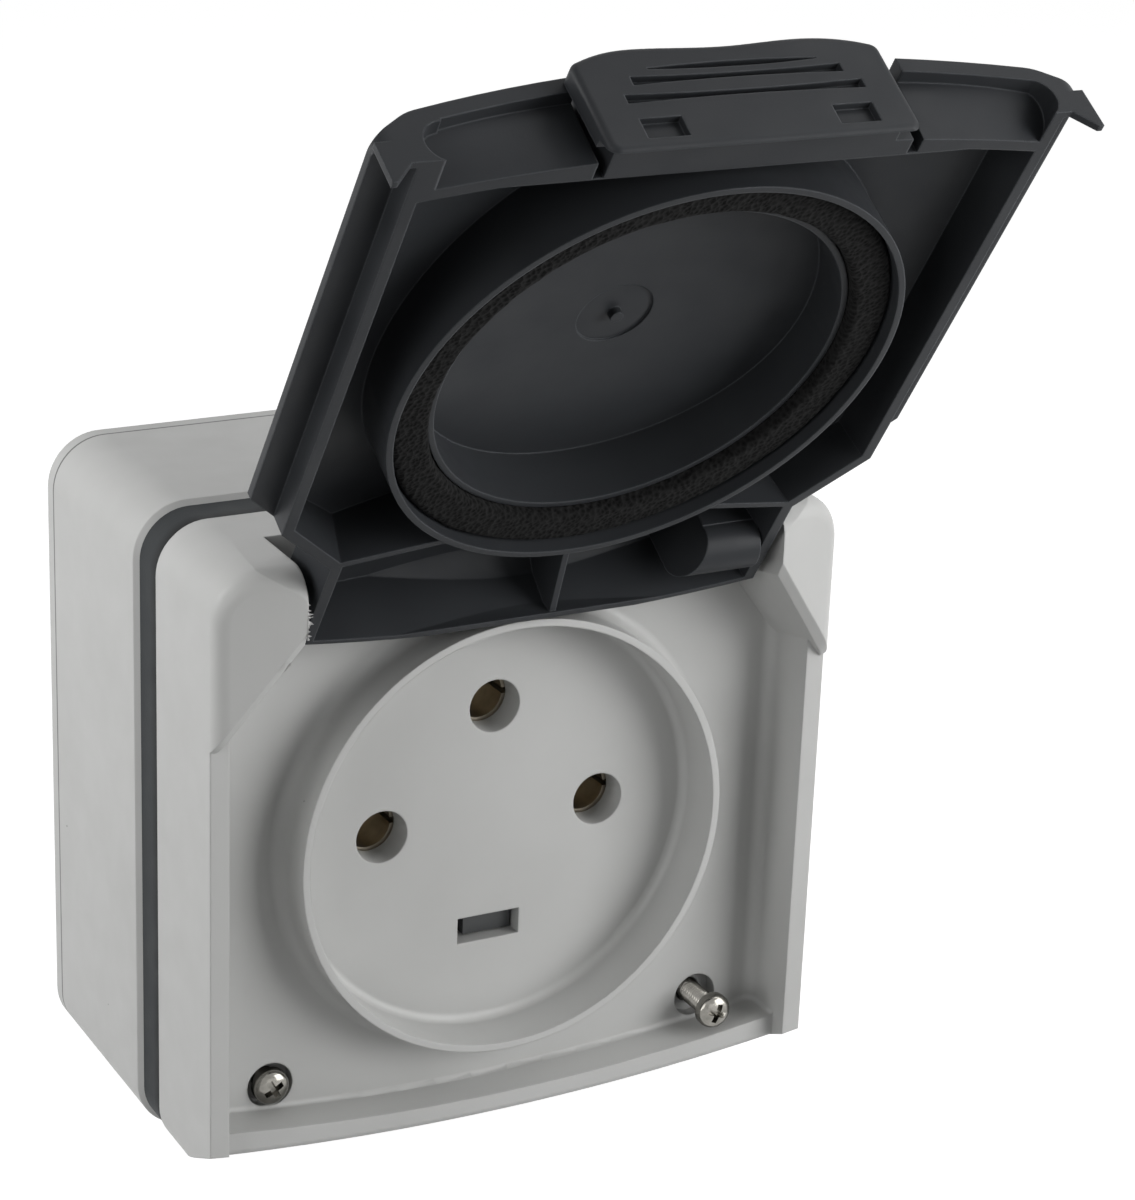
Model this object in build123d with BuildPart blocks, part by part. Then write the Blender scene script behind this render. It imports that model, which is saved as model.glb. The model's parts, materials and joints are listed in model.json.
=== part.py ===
"""Surface-mounted cooker socket with a hinged lid, front towards -Y, back face on the wall at Y = 0.

Heights are along Z and depths are measured from the wall towards the front.  The lid is drawn open,
in its own frame: x along the hinge, d from the hinge axis towards the latch, n towards its inner side.
"""
from build123d import *
from math import atan2, cos, degrees, radians, sin
import os

os.makedirs("parts", exist_ok=True)

# Back box
base_size = 83.6
base_corner = 6.8
base_inner_corner = 4.4
base_depth = 31.0
base_wall = 2.4
back_wall = 2.6
base_edge = 0.7
foot_height = 0.9
foot_set = 0.3
entry_bore = 20.0
entry_depth = 16.0
wall_hole = 4.6
wall_hole_spacing = 56.0

# Seal between the back box and the cover
seal_height = 5.75
seal_inset = 0.6
seal_wall = 2.6

# Front cover
cover_inset = 0.4
cover_corner = 6.4
cover_inner_corner = 4.0
cover_depth = 16.75
cover_wall = 2.4
cheek_wall = 2.45
cheek_height = 8.2
plate_thickness = 3.0
plate_round = 1.6
lip_height = 5.7
lip_thickness = 2.5
lip_sag = 2.7
lip_round = 0.9
fold_round = 0.6
belly_land = 1.0
belly_inset = 6.0

# Collar, well and pin holes
collar_inset = 12.75
collar_space = 7.2
collar_wall = 0.95
collar_height = 6.0
collar_round = 1.8
well_depth = 7.25
well_round = 1.1
floor_thickness = 4.0
floor_rim = 1.6
pin_circle = 15.0
pin_hole = 6.9
key_width = 8.6
key_height = 3.5
key_drop = 14.9
key_depth = 1.9
key_fit = 0.2
key_block_width = 6.6
key_block_shift = 0.7

# Hinge and its ears
hinge_forward = 0.8
hinge_drop = 4.25
ear_width = 10.0
ear_radius = 4.1
ear_lean = 3.2
ear_round = 2.3
ear_bevel = 1.0
ear_height = 8.9
ear_skirt = 22.2
ear_flare = 3.4
pin_radius = 1.5
pin_clearance = 0.06
pin_grip = 4.0
pin_end_gap = 0.3

# Cover screws and their posts
screw_inset = 11.2
screw_radius = 1.5
screw_head = 2.35
screw_head_height = 2.1
screw_head_round = 1.2
screw_length = 30.0
screw_hole = 6.0
screw_seat = 1.9
screw_clearance = 0.2
screw_slack = 5.9
screw_lift = 1.3
cross_width = 0.75
cross_length = 2.7
cross_depth = 1.1
post_radius = 4.2
post_height = 24.0
insert_radius = 2.6
insert_length = 12.0
thread_clearance = 0.05
tube_gap = 0.3
tube_radius = 4.4

# Contacts and their carrier
carrier_inset = 3.2
carrier_depth = 11.0
carrier_plate_depth = 4.0
contact_radius = 4.2
contact_bore = 3.1
contact_fit = 0.1
contact_slit = 0.8
contact_slit_depth = 8.0
contact_inset = 0.3
spring_wire = 0.6
spring_width = 3.0
spring_set = 2.0
spring_gap = 0.15
contact_flange = 5.4
contact_flange_depth = 1.5
terminal_radius = 4.0
terminal_length = 8.0
wire_bore = 4.2
terminal_screw_radius = 1.9
terminal_screw_proud = 1.2
terminal_slot = 0.8
terminal_fit = 0.15
carrier_screw_inset = 6.5
carrier_screw_angle = 40.0
carrier_screw_radius = 1.4
carrier_screw_head = 2.7
carrier_screw_head_height = 1.8
carrier_screw_bite = 3.0

# Cable entry grommet
grommet_flange = 3.0
grommet_flange_thickness = 1.6
grommet_fit = 0.1
grommet_membrane = 1.0
grommet_bore = 4.5

# Lid
lid_open = 146.1
lid_overhang = 0.2
lid_end_inset = 0.1
lid_corner = 2.0
lid_back = 7.7
lid_skin = 1.5
lid_close_gap = 0.3
shoulder_gap = 1.95
lid_wall = 1.4
lid_draft = 9.0
lid_flange_gap = 0.5
lid_flange_edge = 1.0
lid_crown = 4.6
lid_crown_side = 3.6
lid_crown_round = 6.0
lid_side_gap = 0.95
lid_end_lap = 0.55
lid_end_sag = 3.0
end_middle_inset = 2.4
end_side_bow = 1.4
ear_gap = 1.2
hood_radius = 8.2
hood_sag = 2.6
hood_skin = 0.9
hood_edge = 0.6
leg_wall = 1.8
ring_lap = 1.85
ring_outer_wall = 0.8
ring_width = 5.7
ring_inner_wall = 0.75
ring_rise = 4.0
ring_step = 2.75
foam_gap = 0.3
foam_fit = 0.1
rib_wall = 0.8
rib_place = 9.5
rib_bow = 4.5
rib_shift = 2.5
rib_low = 0.4
rib_foot = 1.9
lug_inner = 19.9
lug_radius = 3.3
lug_back = 0.5
lug_rise = 0.75
lug_wall = 2.4
lug_slant = 0.5
pin_fit = 0.02
mark_radius = 4.6
mark_depth = 0.25
gate_radius = 0.8
gate_rise = 0.7
block_width = 5.2
block_gap = 0.75
hook_inner = 38.7
hook_gap = 0.45
hook_rise = 5.3
hook_slant = 2.3
visor = 1.9
pocket_shift = 0.7
pocket_end = 5.6
pocket_open = 0.4

# Latch grip at the free end of the lid
grip_half = 18.1
grip_shift = -0.7
grip_overhang = 2.7
grip_tuck = 0.3
grip_lower = 5.8
grip_upper = 6.1
grip_wave = 1.7
grip_dip = 0.35
grip_crest = 10.8
grip_swell = 0.45
body_half = 18.0
body_shift = 1.6
grip_plate_gap = 0.2
grip_slit = 1.3
grip_round = 0.7
grip_corner = 1.2
groove_depth = 0.9
grooves = ((9.9, 4.7, 0.15, 0.8), (12.3, 3.2, 1.15, 0.6), (13.9, 0.85, 1.2, 0.6))
pocket_width = 4.8
pocket_height = 2.6
pocket_place = 11.2
pocket_low = 3.1
pocket_depth = 0.9

# Depths from the wall
cover_back = base_depth + seal_height
cheek_front = cover_back + cover_depth
plate_front = cheek_front - cheek_height
plate_back = plate_front - plate_thickness
rim_front = plate_front + collar_height
floor_front = rim_front - well_depth
floor_back = floor_front - floor_thickness
lip_front = plate_front + lip_height
hinge_front = cheek_front + hinge_forward
ear_front = hinge_front + ear_radius
carrier_back = floor_back - carrier_depth
carrier_plate_back = carrier_back - carrier_plate_depth

# Half widths and shared places
base_half = base_size / 2
cover_size = base_size - 2 * cover_inset
cover_half = cover_size / 2
collar_radius = cover_half - collar_inset
well_radius = collar_radius - collar_wall
lip_top = well_radius + collar_space
lip_bottom = lip_top + lip_thickness
ring_outer = collar_radius + ring_lap
ring_inner = ring_outer - ring_width
carrier_radius = well_radius - carrier_inset
carrier_screw_place = carrier_radius - carrier_screw_inset
hinge_z = cover_half - hinge_drop
ear_inner = cover_half - ear_width
ear_drop = cover_half - ear_height
ear_foot = cover_half - ear_skirt
screw_place = cover_half - screw_inset
recess_half = cover_half - cheek_wall
screw_places = [(-screw_place, -screw_place), (screw_place, -screw_place)]
pin_places = {"left": (-pin_circle, 0), "right": (pin_circle, 0), "top": (0, pin_circle)}
far = 4 * base_size
carrier_screw_spots = [
    (carrier_screw_place * cos(radians(a)), carrier_screw_place * sin(radians(a)))
    for a in (carrier_screw_angle, 180 - carrier_screw_angle)
]


def facing(depth):
    """Plane parallel to the wall at a depth from it, looking out of the wall, with X right and Z up."""
    return Plane.XZ.offset(depth)


def finish(builder, name):
    """Name a finished piece and write it to its own file."""
    builder.part.label = name
    export_step(builder.part, f"parts/{name}.step")


# Back box: a square tray with two screw posts, wall fixing holes and a cable entry below
with BuildPart() as base_box:
    with BuildSketch(facing(0)):
        RectangleRounded(base_size, base_size, base_corner)
    extrude(amount=base_depth)
    chamfer(base_box.faces().sort_by(Axis.Y)[0].edges(), base_edge)
    with BuildSketch(facing(0)):
        RectangleRounded(base_size, base_size, base_corner)
        RectangleRounded(base_size - 2 * foot_set, base_size - 2 * foot_set, base_corner - foot_set,
                         mode=Mode.SUBTRACT)
    extrude(amount=foot_height / 2, mode=Mode.SUBTRACT)
    with BuildSketch(facing(back_wall)):
        inner = base_size - 2 * base_wall
        RectangleRounded(inner, inner, base_inner_corner)
    extrude(amount=base_depth, mode=Mode.SUBTRACT)
    with BuildSketch(facing(back_wall / 2)):
        with Locations(*screw_places):
            Circle(post_radius)
    extrude(amount=post_height - back_wall / 2)
    with BuildSketch(facing(post_height)):
        with Locations(*screw_places):
            Circle(insert_radius)
    extrude(amount=-insert_length, mode=Mode.SUBTRACT)
    with BuildSketch(facing(post_height)):
        with Locations(*screw_places):
            Circle(screw_radius + screw_clearance)
    extrude(amount=back_wall - post_height, mode=Mode.SUBTRACT)
    with BuildSketch(facing(0)):
        with GridLocations(wall_hole_spacing, 0, 2, 1):
            Circle(wall_hole / 2)
    extrude(amount=back_wall, mode=Mode.SUBTRACT)
    with BuildSketch(Plane.XY.offset(-base_half)):
        with Locations((0, -entry_depth)):
            Circle(entry_bore / 2)
    extrude(amount=base_wall, mode=Mode.SUBTRACT)
finish(base_box, "base_box")

# Rubber grommet pressed into the cable entry: a cup with a flange each side and a hole in its floor
with BuildPart() as cable_grommet:
    neck = entry_bore / 2 - grommet_fit
    with BuildSketch(Plane.XY.offset(-base_half)):
        with Locations((0, -entry_depth)):
            Circle(neck)
    extrude(amount=base_wall)
    for level, side in ((-base_half, -1), (-base_half + base_wall, 1)):
        with BuildSketch(Plane.XY.offset(level)):
            with Locations((0, -entry_depth)):
                Circle(neck + grommet_flange)
        extrude(amount=side * grommet_flange_thickness)
    length = base_wall + 2 * grommet_flange_thickness
    for radius, depth in ((neck - grommet_membrane, length - grommet_membrane), (grommet_bore, length)):
        with BuildSketch(Plane.XY.offset(-base_half - grommet_flange_thickness)):
            with Locations((0, -entry_depth)):
                Circle(radius)
        extrude(amount=depth, mode=Mode.SUBTRACT)
finish(cable_grommet, "cable_grommet")

# Seal frame that stands on the edge of the back box and carries the cover
with BuildPart() as cover_seal:
    outer = base_size - 2 * seal_inset
    with BuildSketch(facing(base_depth)):
        RectangleRounded(outer, outer, base_corner - seal_inset)
        RectangleRounded(outer - 2 * seal_wall, outer - 2 * seal_wall, base_inner_corner, mode=Mode.SUBTRACT)
    extrude(amount=seal_height)
finish(cover_seal, "cover_seal")

# Hinge ears: a flared block at each top corner with a soft outer edge, its front leaning to the outside
with BuildPart() as ears:
    for depth, drop in ((plate_back, ear_flare), (ear_front, 0)):
        with BuildSketch(facing(depth)):
            Polygon((ear_inner, cover_half), (ear_inner, ear_drop - drop), (cover_half, ear_foot - drop),
                    (cover_half, cover_half), align=None)
    loft()
    with BuildSketch(facing(plate_back)):
        RectangleRounded(cover_size, cover_size, cover_corner)
    extrude(amount=ear_front, mode=Mode.INTERSECT)
    with BuildSketch(Plane.XY):
        with BuildLine():
            Polyline((0, -plate_back), (cover_half, -plate_back), (cover_half, ear_lean - ear_front),
                     (ear_inner, -ear_front), (0, -ear_front), (0, -plate_back))
        make_face()
    extrude(amount=base_size, both=True, mode=Mode.INTERSECT)
    fillet(ears.faces().sort_by(Axis.Y)[0].edges().sort_by(Axis.X)[-1], ear_round)
    leaning = ears.faces().filter_by(GeomType.PLANE).sort_by(Axis.Y)[0]
    chamfer(leaning.edges().sort_by(Axis.Z)[0], ear_bevel)
    # The top is rounded about the hinge
    with BuildSketch(Plane.YZ):
        with BuildLine():
            Polyline((-plate_back, cover_half), (-plate_back, 0), (-ear_front, 0), (-ear_front, hinge_z))
            RadiusArc((-ear_front, hinge_z), (-hinge_front, hinge_z + ear_radius), ear_radius)
            Polyline((-hinge_front, hinge_z + ear_radius), (-plate_front, cover_half),
                     (-plate_back, cover_half))
        make_face()
    extrude(amount=base_size, mode=Mode.INTERSECT)
    mirror(about=Plane.YZ)

# Front cover: a shell with a sunk plate between two cheeks, an arched lip below and the round collar
belly_slope = (cover_half - lip_bottom) / (lip_front - cover_back - belly_land)
belly_front = lip_bottom - belly_slope * (cheek_front - lip_front)
belly_sag = lip_sag * (cover_half / recess_half) ** 2
with BuildPart() as front_cover:
    with BuildSketch(facing(cover_back)):
        RectangleRounded(cover_size, cover_size, cover_corner)
    extrude(amount=cover_depth)
    # The underside rises from the straight back edge to the arch of the lip
    with BuildSketch(facing(cover_back + belly_land)):
        Polygon((-cover_half, -cover_half), (cover_half, -cover_half), (cover_half, -cover_size),
                (-cover_half, -cover_size), align=None)
    with BuildSketch(facing(cheek_front)):
        with BuildLine():
            ThreePointArc((-cover_half, belly_sag - belly_front), (0, -belly_front),
                          (cover_half, belly_sag - belly_front))
            Polyline((cover_half, belly_sag - belly_front), (cover_half, -cover_size),
                     (-cover_half, -cover_size), (-cover_half, belly_sag - belly_front))
        make_face()
    loft(mode=Mode.SUBTRACT)
    # Recess down to the plate, open at the top, and the lip cut back below the cheeks
    with BuildSketch(facing(plate_front)):
        with BuildLine():
            ThreePointArc((-recess_half, lip_sag - lip_top), (0, -lip_top), (recess_half, lip_sag - lip_top))
            Polyline((recess_half, lip_sag - lip_top), (recess_half, cover_size), (-recess_half, cover_size),
                     (-recess_half, lip_sag - lip_top))
        make_face()
    extrude(amount=cover_depth, mode=Mode.SUBTRACT)
    with BuildSketch(facing(lip_front)):
        Rectangle(2 * recess_half, 2 * cover_size)
    extrude(amount=cover_depth, mode=Mode.SUBTRACT)
    # Soft folds: wider beside the plate, tight below it, and round under the lip
    plate_edges = front_cover.edges().filter_by_position(Axis.Y, -plate_front, -plate_front)
    fillet([e for e in plate_edges.filter_by(Axis.Z) if abs(e.center().X) < cover_half], plate_round)
    fold_edges = front_cover.edges().filter_by_position(Axis.Y, -lip_front, -plate_front)
    fillet([e for e in fold_edges if e.center().Z < lip_sag - lip_top + fold_round / 2
            and e.center().Y > -lip_front + fold_round and abs(e.center().X) <= recess_half
            and e.center().Z > -lip_top - fold_round], fold_round)
    lower_edges = front_cover.edges().filter_by_position(Axis.Y, -lip_front, -lip_front)
    fillet(min(lower_edges, key=lambda e: e.center().Z), lip_round)
    # Hollow behind the plate
    with BuildSketch(facing(cover_back)):
        inner_top = cover_half - cover_wall
        belly_inside = cover_half - belly_inset
        with Locations((0, (inner_top - belly_inside) / 2)):
            RectangleRounded(2 * inner_top, inner_top + belly_inside, cover_inner_corner)
    extrude(amount=plate_back - cover_back, mode=Mode.SUBTRACT)
    # Collar, well and its floor
    with BuildSketch(facing(floor_back)):
        Circle(well_radius + floor_rim)
    extrude(amount=plate_front - floor_back)
    with BuildSketch(facing(plate_back)):
        Circle(collar_radius)
    extrude(amount=rim_front - plate_back)
    collar_foot = front_cover.edges().filter_by(GeomType.CIRCLE).filter_by_position(
        Axis.Y, -plate_front, -plate_front).sort_by(SortBy.RADIUS)
    fillet([e for e in collar_foot if abs(e.radius - collar_radius) < collar_wall / 2], collar_round)
    with BuildSketch(facing(floor_front)):
        Circle(well_radius)
    extrude(amount=well_depth, mode=Mode.SUBTRACT)
    well_foot = front_cover.edges().filter_by(GeomType.CIRCLE).filter_by_position(
        Axis.Y, -floor_front, -floor_front)
    fillet(well_foot, well_round)
    with BuildSketch(facing(floor_back)):
        with Locations(*pin_places.values()):
            Circle(pin_hole / 2)
        with Locations((0, -key_drop)):
            Rectangle(key_width, key_height)
    extrude(amount=floor_thickness, mode=Mode.SUBTRACT)
    # Blind holes for the carrier screws
    with BuildSketch(facing(floor_back)):
        with Locations(*carrier_screw_spots):
            Circle(carrier_screw_radius + thread_clearance)
    extrude(amount=carrier_screw_bite, mode=Mode.SUBTRACT)
    # Screw tubes reach back to the posts
    with BuildSketch(facing(post_height + tube_gap)):
        with Locations(*screw_places):
            Circle(tube_radius)
    extrude(amount=plate_back - post_height - tube_gap)
    with BuildSketch(facing(post_height)):
        with Locations(*screw_places):
            Circle(screw_radius + screw_clearance)
    extrude(amount=plate_front - post_height, mode=Mode.SUBTRACT)
    with BuildSketch(facing(plate_front - screw_seat)):
        with Locations(*screw_places):
            Circle(screw_hole / 2)
    extrude(amount=screw_seat, mode=Mode.SUBTRACT)
    # Ears with blind pivot holes
    add(ears.part)
    with BuildSketch(Plane.YZ.offset(-ear_inner - pin_grip - pin_end_gap)):
        with Locations((-hinge_front, hinge_z)):
            Circle(pin_radius + pin_clearance)
    extrude(amount=2 * (ear_inner + pin_grip + pin_end_gap), mode=Mode.SUBTRACT)
finish(front_cover, "front_cover")


def cover_screw(place, head_front):
    """Pan-head screw along Y with a cross recess, its head towards the front."""
    with BuildPart() as screw:
        with BuildSketch(facing(head_front - screw_head_height)):
            with Locations(place):
                Circle(screw_head)
        extrude(amount=screw_head_height)
        fillet(screw.edges().group_by(Axis.Y)[0], screw_head_round)
        with BuildSketch(facing(head_front - screw_head_height)):
            with Locations(place):
                Circle(screw_radius)
        extrude(amount=-screw_length)
        chamfer(screw.edges().group_by(Axis.Y)[-1], screw_radius / 3)
        with BuildSketch(facing(head_front)):
            with Locations(place):
                Rectangle(cross_length, cross_width)
                Rectangle(cross_width, cross_length)
        extrude(amount=-cross_depth, mode=Mode.SUBTRACT)
    return screw


def tapped_ring(place, front):
    """Brass insert sunk in a post, bored for the screw."""
    with BuildPart() as ring:
        with BuildSketch(facing(front)):
            with Locations(place):
                Circle(insert_radius)
                Circle(screw_radius + thread_clearance, mode=Mode.SUBTRACT)
        extrude(amount=-insert_length)
    return ring


# Cover screws: the left one is almost home, the right one is backed out
screw_front = plate_front - screw_seat + screw_head_height
for side, place, slack in (("left", screw_places[0], screw_lift), ("right", screw_places[1], screw_slack)):
    finish(cover_screw(place, screw_front + slack), f"cover_screw_{side}")
    finish(tapped_ring(place, post_height), f"screw_insert_{side}")

# Contact carrier behind the well, with a chamber for each sleeve and a block in the back of the key slot
spring_outer = contact_radius + spring_gap + spring_wire
with BuildPart() as contact_carrier:
    with BuildSketch(facing(carrier_back)):
        Circle(carrier_radius)
    extrude(amount=carrier_depth)
    with BuildSketch(facing(carrier_back)):
        with Locations(*pin_places.values()):
            Circle(contact_radius + contact_fit)
    extrude(amount=carrier_depth, mode=Mode.SUBTRACT)
    with BuildSketch(facing(carrier_back)):
        with Locations(*pin_places.values()):
            Circle(contact_flange + contact_fit)
    extrude(amount=contact_flange_depth, mode=Mode.SUBTRACT)
    with BuildSketch(facing(floor_back)):
        with Locations(*pin_places.values()):
            Circle(spring_outer + contact_fit)
    extrude(amount=-spring_set - spring_width, mode=Mode.SUBTRACT)
    with BuildSketch(facing(floor_back)):
        with Locations((key_block_shift, -key_drop)):
            Rectangle(key_block_width, key_height - 2 * key_fit)
    extrude(amount=floor_thickness - key_depth)
    with BuildSketch(facing(carrier_back)):
        with Locations(*carrier_screw_spots):
            Circle(carrier_screw_radius + screw_clearance)
    extrude(amount=carrier_depth, mode=Mode.SUBTRACT)
finish(contact_carrier, "contact_carrier")

# Plate that closes the carrier and traps the contacts' flanges
with BuildPart() as carrier_plate:
    with BuildSketch(facing(carrier_plate_back)):
        Circle(carrier_radius)
        with Locations(*pin_places.values()):
            Circle(terminal_radius + terminal_fit, mode=Mode.SUBTRACT)
        with Locations(*carrier_screw_spots):
            Circle(carrier_screw_radius + screw_clearance, mode=Mode.SUBTRACT)
    extrude(amount=carrier_plate_depth)
finish(carrier_plate, "carrier_plate")


def carrier_screw(place):
    """Slotted screw put in from the back, through plate and carrier into the cover."""
    with BuildPart() as screw:
        with BuildSketch(facing(carrier_plate_back)):
            with Locations(place):
                Circle(carrier_screw_head)
        extrude(amount=-carrier_screw_head_height)
        with BuildSketch(facing(carrier_plate_back)):
            with Locations(place):
                Circle(carrier_screw_radius)
        extrude(amount=carrier_plate_depth + carrier_depth + carrier_screw_bite - pin_end_gap)
        with BuildSketch(facing(carrier_plate_back - carrier_screw_head_height)):
            with Locations(place):
                Rectangle(2 * carrier_screw_head, terminal_slot)
        extrude(amount=carrier_screw_head_height / 2, mode=Mode.SUBTRACT)
    return screw


for side, place in zip(("right", "left"), carrier_screw_spots):
    finish(carrier_screw(place), f"carrier_screw_{side}")


def contact(place):
    """Turned brass contact: slit sleeve, flange, and a stem with a wire hole and a screw hole."""
    sleeve_front = floor_back - contact_inset
    stem_back = carrier_plate_back - terminal_length
    with BuildPart() as sleeve:
        with BuildSketch(facing(stem_back)):
            with Locations(place):
                Circle(terminal_radius)
        extrude(amount=carrier_back - stem_back)
        with BuildSketch(facing(carrier_back)):
            with Locations(place):
                Circle(contact_flange)
        extrude(amount=contact_flange_depth)
        with BuildSketch(facing(carrier_back)):
            with Locations(place):
                Circle(contact_radius)
        extrude(amount=sleeve_front - carrier_back)
        with BuildSketch(facing(carrier_back)):
            with Locations(place):
                Circle(contact_bore)
        extrude(amount=sleeve_front - carrier_back, mode=Mode.SUBTRACT)
        with BuildSketch(facing(sleeve_front)):
            with Locations(place):
                Rectangle(3 * contact_radius, contact_slit)
        extrude(amount=-contact_slit_depth, mode=Mode.SUBTRACT)
        with BuildSketch(Plane.XY):
            with Locations((place[0], -stem_back - terminal_length / 2)):
                Circle(wire_bore / 2)
        extrude(amount=base_size, both=True, mode=Mode.SUBTRACT)
        with BuildSketch(facing(stem_back)):
            with Locations(place):
                Circle(terminal_screw_radius + thread_clearance)
        extrude(amount=terminal_length / 2, mode=Mode.SUBTRACT)
    return sleeve


def contact_spring(place):
    """Open steel clip that presses the sleeve's two halves together."""
    with BuildPart() as clip:
        with BuildSketch(facing(floor_back - spring_set)):
            with Locations(place):
                Circle(spring_outer)
                Circle(contact_radius + spring_gap, mode=Mode.SUBTRACT)
            with Locations((place[0], place[1] + spring_outer)):
                Rectangle(contact_radius, 2 * contact_radius, mode=Mode.SUBTRACT)
        extrude(amount=-spring_width)
    return clip


def terminal_screw(place):
    """Slotted clamp screw in the end of the contact's stem, down to the wire hole."""
    stem_back = carrier_plate_back - terminal_length
    with BuildPart() as screw:
        with BuildSketch(facing(stem_back - terminal_screw_proud)):
            with Locations(place):
                Circle(terminal_screw_radius)
        extrude(amount=terminal_screw_proud + (terminal_length - wire_bore) / 2)
        with BuildSketch(facing(stem_back - terminal_screw_proud)):
            with Locations(place):
                Rectangle(3 * terminal_screw_radius, terminal_slot)
        extrude(amount=terminal_screw_proud, mode=Mode.SUBTRACT)
    return screw


for side, place in pin_places.items():
    finish(contact(place), f"contact_{side}")
    finish(contact_spring(place), f"contact_spring_{side}")
    finish(terminal_screw(place), f"terminal_screw_{side}")

# Lid, in its own frame: planes across the hinge to latch direction, from the side, and in section
tilt = radians(lid_open)
along = (0, -sin(tilt), -cos(tilt))
inward = (0, cos(tilt), -sin(tilt))
hinge_point = (0, -hinge_front, hinge_z)
latch_axis = Axis(hinge_point, along)
lid_face = Plane(origin=hinge_point, x_dir=(1, 0, 0), z_dir=inward)
lid_side = Plane(origin=hinge_point, x_dir=along, z_dir=(1, 0, 0))
lid_end = Plane(origin=hinge_point, x_dir=(1, 0, 0), z_dir=(0, sin(tilt), cos(tilt)))

lip_edge = hinge_z + lip_bottom
lid_half = cover_half + lid_overhang
lid_reach = 2 * hinge_z - lid_end_inset
lid_shoulder = hinge_z - ear_foot + shoulder_gap
grip_reach = lid_reach + grip_overhang
end_middle = lid_reach - end_middle_inset
end_side = lid_reach + end_side_bow
block_inner = lid_half - block_width
lid_rim = hinge_front - lip_front - lid_close_gap
lid_flange = hinge_front - cheek_front - lid_flange_gap
lid_floor = lid_back - lid_skin
leg_outer = ear_inner - ear_gap
leg_inner = leg_outer - leg_wall
neck = lid_shoulder - lid_half + leg_outer
hood_side = hood_radius - hood_sag
wall_half = recess_half - lid_side_gap
wall_reach = hinge_z + lip_top + lid_end_lap
block_start = lip_edge - lip_sag * (block_inner / recess_half) ** 2 + block_gap
ring_centre = (0, hinge_z)
foam_top = hinge_front - rim_front - foam_gap


def lid_outline(hood=0):
    """Face of the lid: wide towards the latch, narrowed by two slants to pass between the ears."""
    foot = -hood_side - hood
    with BuildLine() as edge:
        Polyline((-leg_outer, foot), (-leg_outer, neck), (-lid_half, lid_shoulder),
                 (-lid_half, lid_reach), (lid_half, lid_reach), (lid_half, lid_shoulder),
                 (leg_outer, neck), (leg_outer, foot))
        ThreePointArc((leg_outer, foot), (0, foot - hood_sag), (-leg_outer, foot))
    make_face(edge.edges())


def wall_window(mode):
    """Region on the hinge side of the arched latch wall, between the side walls."""
    side = wall_reach - lid_end_sag
    with BuildLine() as edge:
        ThreePointArc((-wall_half, side), (0, wall_reach), (wall_half, side))
        Polyline((wall_half, side), (wall_half, -lid_half), (-wall_half, -lid_half), (-wall_half, side))
    make_face(edge.edges(), mode=mode)


def hood_profile(radius):
    """Side view of the lid with the round hood about the hinge axis."""
    hood_end = -((radius ** 2 - lid_rim ** 2) ** 0.5)
    with BuildLine() as edge:
        Polyline((hood_end, lid_rim), (hood_end, lid_half), (lid_half * 2, lid_half), (lid_half * 2, -radius),
                 (0, -radius))
        ThreePointArc((0, -radius), (-radius * cos(tilt / 4), -radius * sin(tilt / 4)), (hood_end, lid_rim))
    make_face(edge.edges())


def crown(skin, mode=Mode.ADD):
    """Section of the arched top with its bevelled edges, moved in by a skin thickness."""
    half = lid_half - lid_crown
    low = lid_flange - lid_flange_edge + skin
    with BuildLine() as edge:
        ThreePointArc((-half, skin - lid_crown_side), (0, skin - lid_back), (half, skin - lid_crown_side))
        Polyline((half, skin - lid_crown_side), (lid_half, low), (lid_half, lid_half), (-lid_half, lid_half),
                 (-lid_half, low), (-half, skin - lid_crown_side))
    make_face(edge.edges(), mode=mode)


# Hollow of the lid, drafted so that the floor is smaller than the rim
with BuildPart() as lid_hollow:
    with BuildSketch(lid_face.offset(lid_rim)):
        lid_outline(lid_wall - hood_edge)
        wall_window(Mode.INTERSECT)
        offset(amount=-lid_wall, kind=Kind.INTERSECTION, mode=Mode.REPLACE)
    extrude(amount=-lid_rim - lid_floor, taper=lid_draft)
    with BuildSketch(lid_side):
        hood_profile(hood_radius - hood_skin)
    extrude(amount=far, both=True, mode=Mode.INTERSECT)
    with BuildSketch(lid_end):
        crown(lid_skin)
    extrude(amount=far, both=True, mode=Mode.INTERSECT)

# Round hollow inside the outer ring, down to the same arched floor
with BuildPart() as ring_hollow:
    with BuildSketch(lid_face.offset(-lid_floor)):
        with Locations(ring_centre):
            Circle(ring_outer - ring_outer_wall)
    extrude(amount=lid_floor + ring_rise)
    with BuildSketch(lid_end):
        crown(lid_skin)
    extrude(amount=far, both=True, mode=Mode.INTERSECT)

# Sloping end wall behind the pockets: arched at the rim, bowed the other way under the visor
arch_radius = (wall_half ** 2 + lid_end_sag ** 2) / (2 * lid_end_sag)
arch_side = wall_reach - arch_radius + (arch_radius ** 2 - wall_half ** 2) ** 0.5
with BuildPart() as end_wedge:
    for level, middle, side in ((lid_rim, wall_reach, arch_side), (-lid_back, end_middle, end_side)):
        with BuildSketch(lid_face.offset(level)):
            with BuildLine():
                ThreePointArc((-wall_half, side), (0, middle), (wall_half, side))
                Polyline((wall_half, side), (wall_half, lid_half), (-wall_half, lid_half),
                         (-wall_half, side))
            make_face()
    loft()

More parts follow.
